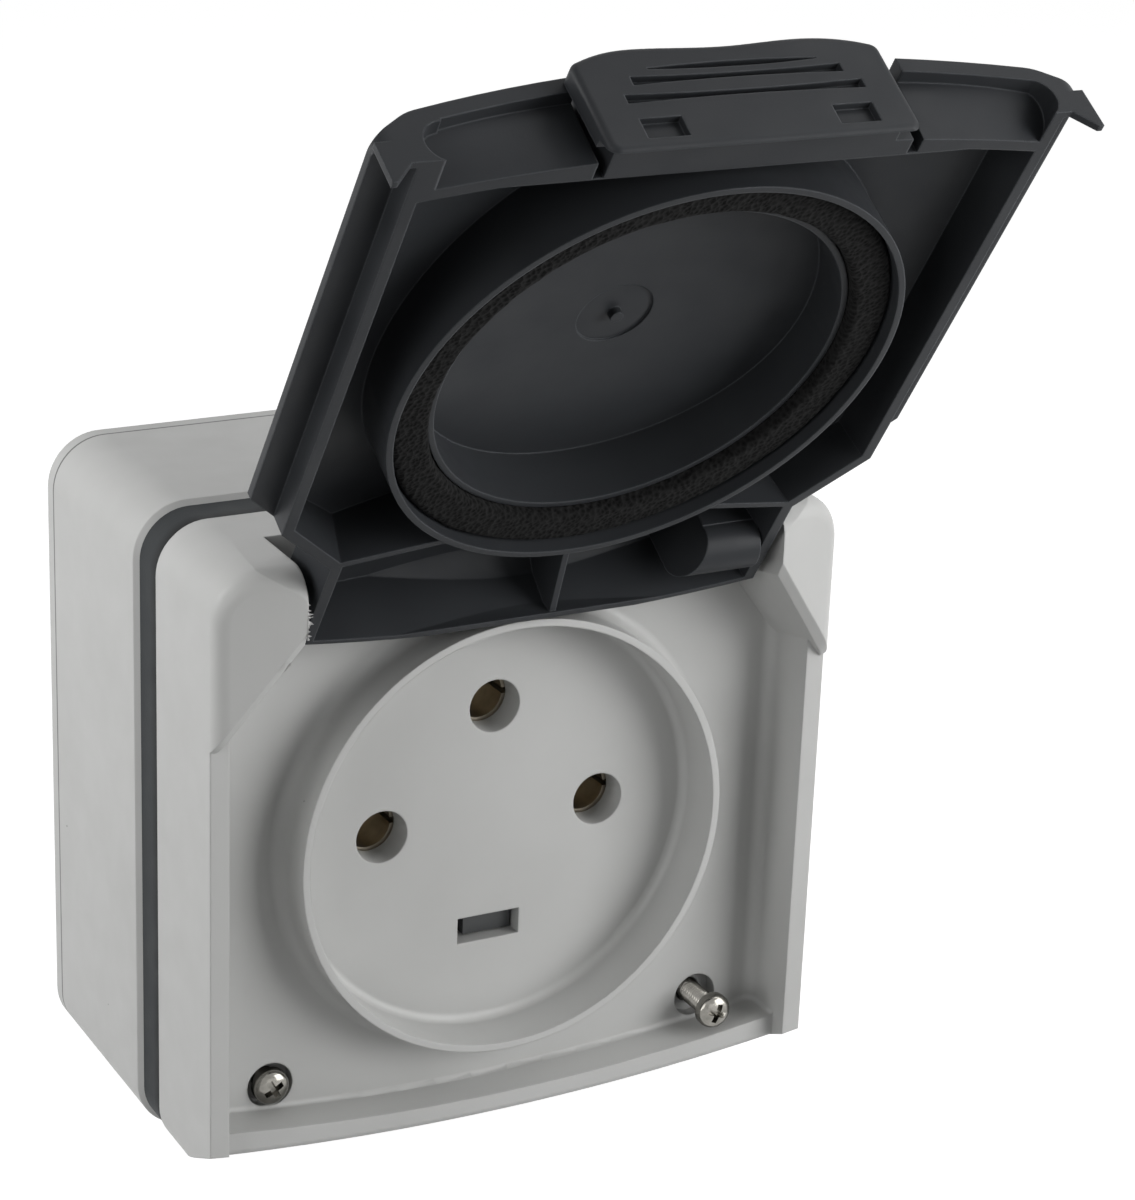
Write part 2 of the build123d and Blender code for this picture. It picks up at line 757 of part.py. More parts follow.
# Pockets in the latch end, under the visor and in front of the sloping wall
with BuildPart() as end_pockets:
    pockets_width = 2 * (block_inner + pocket_shift)
    with BuildSketch(lid_end.offset(-lid_half)):
        with Locations((pocket_shift, lid_rim + pocket_open - pocket_end / 2)):
            SlotOverall(pockets_width, pocket_end)
        with Locations((pocket_shift, lid_rim + pocket_open - lid_half)):
            Rectangle(pockets_width - pocket_end, 2 * lid_half)
        crown(visor, Mode.INTERSECT)
    extrude(amount=-far)
    add(end_wedge.part, mode=Mode.SUBTRACT)
    with BuildSketch(lid_face.offset(lid_rim)):
        wall_window(Mode.ADD)
    extrude(amount=far, mode=Mode.SUBTRACT)

# Latch grip with a wavy upper edge and a face that is tucked in below
grip_lean = degrees(atan2(grip_tuck, grip_upper + grip_lower))
grip_middle = grip_reach - grip_tuck * grip_upper / (grip_upper + grip_lower)
grip_face = lid_end.offset(-grip_middle).rotated((grip_lean, 0, 0)).move(Location((grip_shift, 0, 0)))
with BuildPart() as grip:
    with BuildSketch(grip_face):
        with BuildLine():
            Polyline((-grip_half, -grip_upper), (-grip_half, grip_lower), (grip_half, grip_lower),
                     (grip_half, -grip_upper))
            Spline((grip_half, -grip_upper), (grip_crest, -grip_upper - grip_wave),
                   (0, grip_dip - grip_upper - grip_wave), (-grip_crest, -grip_upper - grip_wave),
                   (-grip_half, -grip_upper), tangents=((-1, -grip_swell), (-1, grip_swell)))
        make_face()
    extrude(amount=grip_middle - wall_reach + lid_wall)
    fillet(grip.edges().filter_by(Axis((0, 0, 0), grip_face.z_dir)), grip_corner)
    fillet(grip.faces().sort_by(latch_axis)[-1].edges(), grip_round)
    # Behind its plate the grip is narrower, and runs between the slits
    with BuildSketch(lid_face.offset(lid_half)):
        with Locations((0, lid_reach + grip_plate_gap - lid_half)):
            Rectangle(4 * grip_half, 2 * lid_half)
        with Locations((body_shift, lid_reach + grip_plate_gap - lid_half)):
            Rectangle(2 * body_half, 2 * lid_half, mode=Mode.SUBTRACT)
    extrude(amount=-2 * lid_half, mode=Mode.SUBTRACT)
    # The edge that hooks under the lip is thin and follows its slope
    with BuildSketch(lid_side):
        hook = lip_edge + block_gap
        Polygon((hook - grip_reach, lid_rim), (hook, lid_rim),
                (hook + belly_slope * grip_lower, lid_rim + grip_lower),
                (hook - grip_reach, lid_rim + grip_lower), align=None)
    extrude(amount=lid_half, both=True, mode=Mode.SUBTRACT)
    with BuildSketch(grip_face):
        for half, level, end, waist in grooves:
            top = -level - end / 2
            bottom = end / 2 - level
            with BuildLine():
                ThreePointArc((-half, top), (0, -level - waist / 2), (half, top))
                Line((half, top), (half, bottom))
                ThreePointArc((half, bottom), (0, waist / 2 - level), (-half, bottom))
                Line((-half, bottom), (-half, top))
            make_face()
    extrude(amount=groove_depth, mode=Mode.SUBTRACT)
    with BuildSketch(grip_face):
        with Locations((-pocket_place, pocket_low), (pocket_place, pocket_low)):
            Rectangle(pocket_width, pocket_height)
    extrude(amount=pocket_depth, mode=Mode.SUBTRACT)

# Lug for the steel pin on the right, with a slanted end
lug_start = lug_inner - lug_slant * (lug_radius + lug_back)
with BuildPart() as lug:
    with BuildSketch(lid_side.offset(lug_start)):
        with Locations((-lug_back, lug_rise)):
            Circle(lug_radius)
        with Locations((-lug_back, -lid_floor / 2)):
            Rectangle(2 * lug_radius, lid_floor)
    extrude(amount=leg_inner - lug_start)
    with BuildSketch(lid_face.offset(lid_half)):
        slant = lug_slant * lid_half
        Polygon((lug_inner - slant, -lid_half), (lug_inner + slant, lid_half), (-lid_half, lid_half),
                (-lid_half, -lid_half), align=None)
    extrude(amount=-2 * lid_half, mode=Mode.SUBTRACT)

# Lid moulding
with BuildPart() as lid:
    with BuildSketch(lid_face.offset(lid_flange)) as outline:
        lid_outline()
        fillet(outline.vertices().group_by(Axis.Y)[-1], lid_corner)
    extrude(amount=-hood_radius - lid_flange)
    with BuildSketch(lid_face.offset(lid_rim)):
        lid_outline()
        wall_window(Mode.INTERSECT)
    extrude(amount=-lid_rim - lid_flange_edge)
    add(end_wedge.part)
    add(lid_hollow.part, mode=Mode.SUBTRACT)
    # Ribs beside the ring and from the ring to the hood
    with BuildSketch(lid_face.offset(-lid_floor)):
        rib_half = leg_inner + leg_wall / 2
        rib_top = rib_place + rib_bow
        Polygon((-rib_half, rib_place), (0, rib_top), (rib_half, rib_place), (rib_half, rib_place - rib_wall),
                (0, rib_top - rib_wall), (-rib_half, rib_place - rib_wall), align=None)
    extrude(amount=lid_floor + lid_rim)
    with BuildSketch(lid_side.offset(rib_shift)):
        Polygon((-hood_radius, -lid_floor), (-hood_radius, lid_rim), (rib_foot, rib_low), (rib_place, rib_low),
                (rib_place, -lid_floor), align=None)
    extrude(amount=rib_wall)
    # Outer ring, and the inner ring that holds the foam
    with BuildSketch(lid_face.offset(-lid_floor)):
        with Locations(ring_centre):
            Circle(ring_outer)
    extrude(amount=lid_floor + ring_rise)
    add(ring_hollow.part, mode=Mode.SUBTRACT)
    with BuildSketch(lid_face.offset(-lid_floor)):
        with Locations(ring_centre):
            Circle(ring_inner)
            Circle(ring_inner - ring_inner_wall, mode=Mode.SUBTRACT)
    extrude(amount=lid_floor + ring_rise - ring_step)
    add(lug.part)
    # Arched top and round hood trim all of it
    with BuildSketch(lid_end) as top:
        crown(0)
        fillet(top.vertices().group_by(Axis.Y)[0], lid_crown_round)
    extrude(amount=far, both=True, mode=Mode.INTERSECT)
    with BuildSketch(lid_side):
        hood_profile(hood_radius)
    extrude(amount=far, both=True, mode=Mode.INTERSECT)
    # Moulding marks in the middle
    with BuildSketch(lid_face.offset(-lid_floor - mark_depth)):
        with Locations(ring_centre):
            Circle(mark_radius)
    extrude(amount=mark_depth + gate_rise, mode=Mode.SUBTRACT)
    with BuildSketch(lid_face.offset(-lid_floor - mark_depth)):
        with Locations(ring_centre):
            Circle(gate_radius)
    extrude(amount=mark_depth + gate_rise)
    # Moulded pivot on the left, bore for the pin on the right
    with BuildSketch(lid_side.offset(-leg_inner)):
        Circle(pin_radius)
    extrude(amount=leg_inner - ear_inner - pin_grip)
    with BuildSketch(lid_side.offset(lug_inner + lug_wall)):
        Circle(pin_radius + pin_fit)
    extrude(amount=leg_outer - lug_inner, mode=Mode.SUBTRACT)
    # Walls that close the pockets, hooks at the corners, pockets, and the grip between its slits
    with BuildSketch(lid_face) as blocks:
        lid_outline()
        fillet(blocks.vertices().group_by(Axis.Y)[-1], lid_corner)
        with Locations((0, wall_reach - lid_end_sag + lid_half)):
            Rectangle(2 * wall_half, 2 * lid_half, mode=Mode.INTERSECT)
    extrude(amount=lid_rim)
    with BuildSketch(lid_end.offset(-block_start - hook_gap)):
        for side in (-1, 1):
            Polygon((side * wall_half, 0), (side * wall_half, lid_rim), (side * hook_inner, lid_rim),
                    (side * (hook_inner + hook_slant), hook_rise), (side * lid_half, hook_rise),
                    (side * lid_half, 0), align=None)
    extrude(amount=block_start + hook_gap - lid_reach)
    add(end_pockets.part, mode=Mode.SUBTRACT)
    with BuildSketch(lid_face.offset(lid_half)):
        with Locations((body_shift, wall_reach - lid_wall / 2 + lid_half)):
            Rectangle(2 * (body_half + grip_slit), 2 * lid_half)
        with Locations((body_shift, grip_reach)):
            with GridLocations(2 * body_half + grip_slit, 0, 2, 1):
                Rectangle(grip_slit, 2 * (grip_reach - wall_reach + 2 * lid_wall))
    extrude(amount=-2 * lid_half, mode=Mode.SUBTRACT)
    add(grip.part)
finish(lid, "lid")

# Foam ring between the lid's ring walls; the collar's rim closes against it
with BuildPart() as lid_seal:
    with BuildSketch(lid_face.offset(-lid_floor)):
        with Locations(ring_centre):
            Circle(ring_outer - ring_outer_wall - foam_fit)
            Circle(ring_inner + foam_fit, mode=Mode.SUBTRACT)
    extrude(amount=lid_floor + foam_top)
    with BuildSketch(lid_end):
        crown(lid_skin)
    extrude(amount=far, both=True, mode=Mode.INTERSECT)
finish(lid_seal, "lid_seal")

# Steel pin in the lid's right lug, turning in the blind hole of the right ear
with BuildPart() as hinge_pin:
    pin_start = lug_inner + lug_wall
    with BuildSketch(lid_side.offset(pin_start)):
        Circle(pin_radius)
    extrude(amount=ear_inner + pin_grip - pin_start)
finish(hinge_pin, "hinge_pin")
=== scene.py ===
"""Looks of a surface-mounted cooker socket with its lid open: finishes, small pieces, light and camera.

Lengths are in metres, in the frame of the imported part: +Z up, the wall at Y = 0 and the front towards -Y.
"""
import json
import math
import random

import bmesh
import bpy
from mathutils import Matrix, Quaternion, Vector, noise

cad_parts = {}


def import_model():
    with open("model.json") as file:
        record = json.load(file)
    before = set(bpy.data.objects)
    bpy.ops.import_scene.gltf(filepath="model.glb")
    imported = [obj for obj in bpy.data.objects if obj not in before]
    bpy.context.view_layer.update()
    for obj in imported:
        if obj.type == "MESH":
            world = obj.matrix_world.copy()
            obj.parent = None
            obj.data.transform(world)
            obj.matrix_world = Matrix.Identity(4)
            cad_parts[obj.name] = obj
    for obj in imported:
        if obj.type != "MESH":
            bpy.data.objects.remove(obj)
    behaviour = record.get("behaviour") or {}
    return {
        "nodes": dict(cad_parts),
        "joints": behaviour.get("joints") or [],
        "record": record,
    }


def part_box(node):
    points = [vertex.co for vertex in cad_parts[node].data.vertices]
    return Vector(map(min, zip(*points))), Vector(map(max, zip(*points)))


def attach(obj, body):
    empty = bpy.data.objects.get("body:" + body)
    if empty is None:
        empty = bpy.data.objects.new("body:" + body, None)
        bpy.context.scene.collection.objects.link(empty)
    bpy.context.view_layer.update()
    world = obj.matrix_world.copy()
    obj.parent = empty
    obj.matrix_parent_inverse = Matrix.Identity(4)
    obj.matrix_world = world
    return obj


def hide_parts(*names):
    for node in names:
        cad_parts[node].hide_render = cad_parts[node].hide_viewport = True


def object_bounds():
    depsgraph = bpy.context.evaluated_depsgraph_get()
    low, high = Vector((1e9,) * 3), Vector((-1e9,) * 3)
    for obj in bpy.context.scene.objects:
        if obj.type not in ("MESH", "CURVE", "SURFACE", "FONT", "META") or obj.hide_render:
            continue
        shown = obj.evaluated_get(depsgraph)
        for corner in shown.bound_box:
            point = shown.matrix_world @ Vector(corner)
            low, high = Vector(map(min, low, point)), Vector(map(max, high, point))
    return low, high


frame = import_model()
cad_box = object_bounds()

MM = 0.001
WHITE = (1.0, 1.0, 1.0)

# Camera at the photograph's viewing angle
camera_place = Vector((-0.1716, -0.37538, 0.1654))
camera_forward = Vector((0.45072, 0.82417, -0.34294))
camera_roll = math.radians(2.23)
camera_lens = 103.72
camera_sensor = 36.0
camera_near = 0.01

# Lamps: direction from the object, distance, width, strength
lamps = {
    "key_right": ((0.68, -0.70, 0.20), 0.42, 0.28, 1.48),
    "side_low": ((-0.95, -0.10, -0.02), 0.9, 0.45, 1.9),
    "side_back": ((-0.88, 0.45, 0.40), 0.30, 0.16, 0.385),
    "side_front": ((-0.85, -0.40, 0.35), 0.9, 0.45, 1.7),
    "top_right": ((0.60, -0.20, 0.78), 0.9, 0.45, 1.6),
    "top_soft": ((0.0, 0.10, 1.0), 0.9, 0.45, 0.7),
    "front_low": ((0.10, -0.95, 0.02), 0.9, 0.45, 0.4),
}
ambient = 0.02
floor_grey = 0.30
floor_glow = 0.96
floor_reach = 4.0

# Colours of the finishes, each from its darker to its paler clouds
pale_colours = ((0.500, 0.502, 0.492), (0.545, 0.547, 0.538))
dark_colours = ((0.027, 0.0288, 0.032), (0.037, 0.0395, 0.043))
black_colours = ((0.025, 0.027, 0.028), (0.043, 0.0455, 0.0465))
rubber_colours = ((0.019, 0.022, 0.0235), (0.030, 0.033, 0.0355))
foam_colours = ((0.004, 0.004, 0.004), (0.016, 0.016, 0.016))
steel_colours = ((0.19, 0.184, 0.166), (0.28, 0.27, 0.247))
brass_colours = ((0.40, 0.36, 0.285), (0.56, 0.505, 0.41))

# Colours of marks: specks and parting line, a painted highlight on sharp edges, painted shade in corners,
# and a painted shadow in the seal's gap
speck_colour = (0.09, 0.09, 0.09)
parting_colour = (0.13, 0.13, 0.128)
edge_highlight_colour = (0.095, 0.101, 0.11)
corner_shade = (0.80, 0.80, 0.80)
gap_shade = (0.12, 0.12, 0.12)

# Relief of the two mouldings: rounding of their edges, and depth of the slow waves
edge_round = 0.3 * MM
wave_depth = 0.05 * MM
# Reach of the painted shade in corners
corner_reach = 5 * MM

# Cover screws
head_radius = 2.35 * MM
head_height = 2.1 * MM
head_rim = 0.25 * MM
head_segments = 64
dome_height = 1.25 * MM
dome_steps = 12
dome_power = 0.9
thread_radius = 1.5 * MM
thread_root = 1.22 * MM
thread_pitch = 0.5 * MM
thread_segments = 28
rows_per_pitch = 8
taper_rows = 16
tip_share = 0.6
cross_length = 3.1 * MM
cross_width = 0.8 * MM
cross_depth = 1.5 * MM
cross_above = 0.3 * MM
cross_floor = (0.34, 0.72)
screw_turn = {"left": 28.0, "right": -22.0}

# Moulding marks: a parting line round the back box, dark specks, and flash on the left ear's inner edge
parting_line = -2.5 * MM
parting_width = 0.24 * MM
speck_spacing = 9 * MM
speck_radius = 0.2 * MM

# Flash, in millimetres: both ends of its edge, its reach and its number of steps
flash_edges = {
    "upper": ((-31.42, -58.35, 33.2), (-31.42, -58.25, 37.6), 0.75, 26),
    "lower": ((-33.3, -57.9, 30.6), (-33.9, -57.7, 29.6), 0.35, 8),
}
flash_seed = 11
flash_least = 0.05
flash_lift = (-0.04, 0.08)
flash_droop = 0.4
flash_root = 0.1
flash_half_thickness = 0.09

# Foam ring in the lid
foam_outer = 29.6 * MM
foam_inner = 24.9 * MM
foam_top = 2.7 * MM
foam_bottom = -3.3 * MM
foam_round = 0.9 * MM
foam_segments = 360
foam_round_steps = 5
foam_top_rows = 6
foam_rough = 0.16 * MM
foam_fine_scale = 900.0
foam_coarse_scale = 250.0
foam_coarse_share = 0.6

# Mesh limits: a radius that counts as on the axis, and the angle from which an edge stays sharp
on_axis = 1e-7
sharp_angle = math.radians(35)


# Node helpers
def add_node(tree, kind, inputs=None, **properties):
    """Add a shader node, with its properties and the values of its inputs."""
    made = tree.nodes.new(kind)
    for key, value in properties.items():
        setattr(made, key, value)
    for key, value in (inputs or {}).items():
        made.inputs[key].default_value = value
    return made


def feed(tree, socket, value):
    """Link an output to an input, or set the input to a number or a colour."""
    if isinstance(value, bpy.types.NodeSocket):
        tree.links.new(value, socket)
    elif isinstance(value, tuple):
        socket.default_value = (*value, 1.0)
    else:
        socket.default_value = value


def new_material(name):
    """A material with a principled shader, and its node tree and object coordinates."""
    material = bpy.data.materials.new(name)
    material.use_nodes = True
    tree = material.node_tree
    place = add_node(tree, "ShaderNodeTexCoord").outputs["Object"]
    return material, tree, tree.nodes["Principled BSDF"], place


def dress(tree, shader, inputs):
    """Feed several inputs of a shader, by name."""
    for name, value in inputs.items():
        feed(tree, shader.inputs[name], value)


def grain(tree, place, scale, detail=3.0, stretch=None):
    """Noise over the object, from 0 to 1, with features of about 1/scale metres."""
    if stretch:
        mapped = add_node(tree, "ShaderNodeMapping", {"Scale": stretch})
        tree.links.new(place, mapped.inputs["Vector"])
        place = mapped.outputs["Vector"]
    texture = add_node(tree, "ShaderNodeTexNoise", {"Scale": scale, "Detail": detail})
    tree.links.new(place, texture.inputs["Vector"])
    return texture.outputs["Fac"]


def cell_distance(tree, place, scale):
    """Distance from the middle of random cells of about 1/scale metres, in cell widths."""
    cells = add_node(tree, "ShaderNodeTexVoronoi", {"Scale": scale, "Randomness": 1.0})
    tree.links.new(place, cells.inputs["Vector"])
    return cells.outputs["Distance"]


def depth_along(tree, place):
    """The Y coordinate of a place."""
    axes = add_node(tree, "ShaderNodeSeparateXYZ")
    tree.links.new(place, axes.inputs["Vector"])
    return axes.outputs["Y"]


def spread(tree, factor, low, high, start=0.3, end=0.7):
    """Map a factor to a range of values."""
    made = add_node(tree, "ShaderNodeMapRange",
                    {"From Min": start, "From Max": end, "To Min": low, "To Max": high})
    tree.links.new(factor, made.inputs["Value"])
    return made.outputs["Result"]


def shades(tree, factor, low, high, start=0.3, end=0.7):
    """Map a factor to a range between two colours."""
    ramp = add_node(tree, "ShaderNodeValToRGB")
    for stop, position, colour in zip(ramp.color_ramp.elements, (start, end), (low, high)):
        stop.position = position
        stop.color = (*colour, 1.0)
    tree.links.new(factor, ramp.inputs["Fac"])
    return ramp.outputs["Color"]


def blend_colours(tree, factor, first, second, mode="MIX"):
    """Mix two colours, each a socket or a colour, by a factor that is a socket or a number."""
    made = add_node(tree, "ShaderNodeMix", data_type="RGBA", blend_type=mode)
    feed(tree, made.inputs[0], factor)
    feed(tree, made.inputs[6], first)
    feed(tree, made.inputs[7], second)
    return made.outputs[2]


def rounded_normal(tree, radius):
    """Normal that is rounded near sharp edges."""
    return add_node(tree, "ShaderNodeBevel", {"Radius": radius}, samples=4).outputs["Normal"]


def edge_mask(tree, normal, start=0.97, end=0.75):
    """1 along sharp edges and 0 on open faces, from a rounded normal."""
    face = add_node(tree, "ShaderNodeNewGeometry").outputs["Normal"]
    dot = add_node(tree, "ShaderNodeVectorMath", operation="DOT_PRODUCT")
    tree.links.new(normal, dot.inputs[0])
    tree.links.new(face, dot.inputs[1])
    return spread(tree, dot.outputs["Value"], 0.0, 1.0, start, end)


def bump(tree, height, distance, normal=None):
    """Bump from a height socket, over another normal."""
    made = add_node(tree, "ShaderNodeBump", {"Strength": 1.0, "Distance": distance})
    tree.links.new(height, made.inputs["Height"])
    if normal:
        tree.links.new(normal, made.inputs["Normal"])
    return made.outputs["Normal"]


def across_line(tree, place, level, half_width):
    """1 on a thin band round the object at a depth along Y, and 0 away from it."""
    offset = add_node(tree, "ShaderNodeMath", {1: level}, operation="SUBTRACT")
    tree.links.new(depth_along(tree, place), offset.inputs[0])
    away = add_node(tree, "ShaderNodeMath", operation="ABSOLUTE")
    tree.links.new(offset.outputs["Value"], away.inputs[0])
    return spread(tree, away.outputs["Value"], 1.0, 0.0, half_width / 2, half_width)


def specks(tree, place):
    """1 in a few small inclusions, and 0 elsewhere."""
    edge = speck_radius / speck_spacing
    return spread(tree, cell_distance(tree, place, 1 / speck_spacing), 1.0, 0.0, edge * 0.8, edge)


# Finishes
def pale_plastic(name, line=None):
    """Pale grey moulding: clouding, specks, satin grain, painted shade in corners, and a parting line where
    given.
    """
    material, tree, shader, place = new_material(name)
    colour = shades(tree, grain(tree, place, scale=45.0, detail=4.0), *pale_colours)
    colour = blend_colours(tree, specks(tree, place), colour, speck_colour)
    if line is not None:
        band = across_line(tree, place, line, parting_width)
        colour = blend_colours(tree, band, colour, parting_colour)
    # Painted shade: the colour darkens in corners and creases, by ambient occlusion.
    corner = add_node(tree, "ShaderNodeAmbientOcclusion", {"Distance": corner_reach}, samples=6)
    shade = shades(tree, corner.outputs["AO"], corner_shade, WHITE, start=0.25, end=0.9)
    normal = rounded_normal(tree, edge_round)
    wave = bump(tree, grain(tree, place, scale=110.0, detail=1.0), wave_depth, normal)
    dress(tree, shader, {
        "Base Color": blend_colours(tree, 1.0, colour, shade, "MULTIPLY"),
        "Roughness": spread(tree, grain(tree, place, scale=240.0), low=0.40, high=0.52),
        "Normal": bump(tree, grain(tree, place, scale=4200.0, detail=2.0), 0.006 * MM, wave),
        "Specular IOR Level": 0.4,
    })
    return material


def dark_plastic():
    """Anthracite moulding: faint flow streaks, fine grain, and a painted highlight that makes its sharp
    edges paler.
    """
    material, tree, shader, place = new_material("dark_grey")
    normal = rounded_normal(tree, edge_round)
    streaks = grain(tree, place, scale=60.0, detail=4.0, stretch=(0.35, 1.0, 1.0))
    colour = shades(tree, streaks, *dark_colours)
    wave = bump(tree, grain(tree, place, scale=90.0, detail=1.0), wave_depth, normal)
    # Painted highlight: the colour turns paler along sharp edges.
    dress(tree, shader, {
        "Base Color": blend_colours(tree, edge_mask(tree, normal), colour, edge_highlight_colour),
        "Roughness": spread(tree, grain(tree, place, scale=180.0), low=0.36, high=0.50),
        "Normal": bump(tree, grain(tree, place, scale=3600.0, detail=2.0), 0.008 * MM, wave),
        "Specular IOR Level": 0.11,
    })
    return material


def black_plastic():
    """Matt black moulding of the inner pieces."""
    material, tree, shader, place = new_material("black_plastic")
    cloud = grain(tree, place, scale=150.0)
    dress(tree, shader, {
        "Base Color": shades(tree, cloud, *black_colours),
        "Roughness": spread(tree, cloud, low=0.45, high=0.6),
        "Normal": bump(tree, grain(tree, place, scale=2500.0), 0.01 * MM),
    })
    return material


def rubber(name, edges=None):
    """Dark rubber with a dusty bloom; between two edges along Y a painted shadow takes it from almost black
    to paler.
    """
    material, tree, shader, place = new_material(name)
    cloud = grain(tree, place, scale=220.0, detail=5.0)
    colour = shades(tree, cloud, *rubber_colours)
    if edges:
        # Painted shadow of the gap beside the cover: almost black at the front edge, fading towards the
        # back.
        share = spread(tree, depth_along(tree, place), 0.0, 1.0, *edges)
        shade = shades(tree, share, gap_shade, WHITE, start=0.08, end=0.42)
        colour = blend_colours(tree, 1.0, colour, shade, "MULTIPLY")
    dress(tree, shader, {
        "Base Color": colour,
        "Roughness": spread(tree, cloud, low=0.6, high=0.75),
        "Normal": bump(tree, grain(tree, place, scale=1800.0), 0.02 * MM),
        "Specular IOR Level": 0.2,
    })
    return material


def foam():
    """Open-cell black foam: dark pores between paler cell walls."""
    material, tree, shader, place = new_material("foam")
    pores = cell_distance(tree, place, scale=1700.0)
    dress(tree, shader, {
        "Base Color": shades(tree, pores, *foam_colours, start=0.15, end=0.75),
        "Roughness": 0.95,
        "Normal": bump(tree, pores, 0.25 * MM),
        "Specular IOR Level": 0.1,
    })
    return material


def steel():
    """Bright plated steel with faint tool marks."""
    material, tree, shader, place = new_material("steel")
    cloud = grain(tree, place, scale=900.0, detail=4.0)
    dress(tree, shader, {
        "Base Color": shades(tree, cloud, *steel_colours),
        "Roughness": spread(tree, cloud, low=0.14, high=0.26),
        "Metallic": 1.0,
        "Normal": bump(tree, grain(tree, place, scale=1500.0), 0.004 * MM),
    })
    return material


def brass():
    """Dull turned brass."""
    material, tree, shader, place = new_material("brass")
    cloud = grain(tree, place, scale=500.0, detail=4.0)
    dress(tree, shader, {
        "Base Color": shades(tree, cloud, *brass_colours),
        "Roughness": spread(tree, cloud, low=0.28, high=0.45),
        "Metallic": 1.0,
    })
    return material


finishes = {
    "pale_grey": pale_plastic("pale_grey"),
    "dark_grey": dark_plastic(),
    "black_plastic": black_plastic(),
    "dark_rubber": rubber("dark_rubber"),
    "foam": foam(),
    "steel": steel(),
    "brass": brass(),
}
for part in frame["record"]["subparts"]:
    mesh = frame["nodes"][part["node"]].data
    mesh.materials.clear()
    mesh.materials.append(finishes[part["material_slot"]])
seal_low, seal_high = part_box("cover_seal")
frame["nodes"]["base_box"].data.materials[0] = pale_plastic("pale_grey_box", parting_line)
# The seal's rubber gets a painted shadow along its front, beside the cover.
frame["nodes"]["cover_seal"].data.materials[0] = rubber("dark_rubber_frame", (seal_low.y, seal_high.y))


# Mesh helpers
def add_object(name, data):
    """An object in the scene, for a mesh, a lamp or a camera."""
    made = bpy.data.objects.new(name, data)
    bpy.context.scene.collection.objects.link(made)
    return made


def make_object(name, mesh, slot, body):
    """An object for a new mesh, with its finish, riding on a body."""
    made = add_object(name, mesh)
    mesh.materials.clear()
    mesh.materials.append(finishes[slot])
    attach(made, body)
    return made


def circle(shape, radii, height):
    """Vertices round the local Z axis, one for each radius, at one height."""
    ring = []
    for k, radius in enumerate(radii):
        turn = 2 * math.pi * k / len(radii)
        ring.append(shape.verts.new((radius * math.cos(turn), radius * math.sin(turn), height)))
    return ring


def wall(shape, lower, upper):
    """Faces between two rings of vertices; a vertex that a ring repeats is used once in a face."""
    count = len(lower)
    for k in range(count):
        after = (k + 1) % count
        corners = []
        for vert in (lower[k], lower[after], upper[after], upper[k]):
            if vert not in corners:
                corners.append(vert)
        if len(corners) > 2:
            shape.faces.new(corners)


def capped(shape, rings):
    """Walls through rings of vertices, closed at both ends."""
    for lower, upper in zip(rings, rings[1:]):
        wall(shape, lower, upper)
    shape.faces.new(rings[0])
    shape.faces.new(rings[-1][::-1])


def turned(shape, profile, segments, closed=False):
    """Turn (radius, height) points about the local Z axis into a bmesh."""
    rings = []
    for radius, height in profile:
        if radius < on_axis:
            rings.append([shape.verts.new((0, 0, height))] * segments)
        else:
            rings.append(circle(shape, [radius] * segments, height))
    for lower, upper in zip(rings, rings[1:]):
        wall(shape, lower, upper)
    if closed:
        wall(shape, rings[-1], rings[0])


def to_mesh(shape, name, smooth=True):
    """Turn a bmesh into a mesh with outward faces."""
    bmesh.ops.recalc_face_normals(shape, faces=shape.faces)
    mesh = bpy.data.meshes.new(name)
    shape.to_mesh(mesh)
    shape.free()
    if smooth:
        mesh.shade_smooth()
        mesh.set_sharp_from_angle(angle=sharp_angle)
    return mesh


# Cover screws with a domed head, a cross recess and a thread
def screw_head():
    """Domed head, its top at height 0, the shank towards -Z."""
    profile = [(0.0, 0.0)]
    for k in range(1, dome_steps + 1):
        share = k / dome_steps
        radius = head_radius * math.sin(share * math.pi / 2) ** dome_power
        profile.append((radius, -dome_height * share ** 2))
    profile.append((head_radius, -head_height + head_rim))
    profile.append((head_radius - head_rim, -head_height))
    profile.append((0.0, -head_height))
    shape = bmesh.new()
    turned(shape, profile, head_segments)
    return to_mesh(shape, "screw_head")


def cross_blade(turn):
    """One wing pair of the cross recess, smaller towards the recess's floor."""
    shape = bmesh.new()
    rings = []
    for height, long_share, wide_share in ((cross_above, 1.0, 1.0), (-cross_depth, *cross_floor)):
        x = cross_length / 2 * long_share
        y = cross_width / 2 * wide_share
        corners = ((-x, -y), (x, -y), (x, y), (-x, y))
        rings.append([shape.verts.new((*corner, height)) for corner in corners])
    capped(shape, rings)
    shape.transform(Matrix.Rotation(turn, 4, "Z"))
    return to_mesh(shape, "cross_blade", smooth=False)


def thread(length):
    """Threaded shank from inside the head to the tip."""
    rows = int(length / thread_pitch * rows_per_pitch)
    shape = bmesh.new()
    rings = []
    for row in range(rows + 1):
        height = -head_height / 2 - length * row / rows
        taper = min(1.0, (rows - row) / taper_rows)
        root = thread_root * (tip_share + (1 - tip_share) * taper)
        radii = []
        for k in range(thread_segments):
            phase = (height / thread_pitch - k / thread_segments) % 1.0
            crest = 1 - abs(2 * phase - 1)
            radii.append(root + (thread_radius - thread_root) * taper * crest)
        rings.append(circle(shape, radii, height))
    capped(shape, rings)
    return to_mesh(shape, "screw_thread")


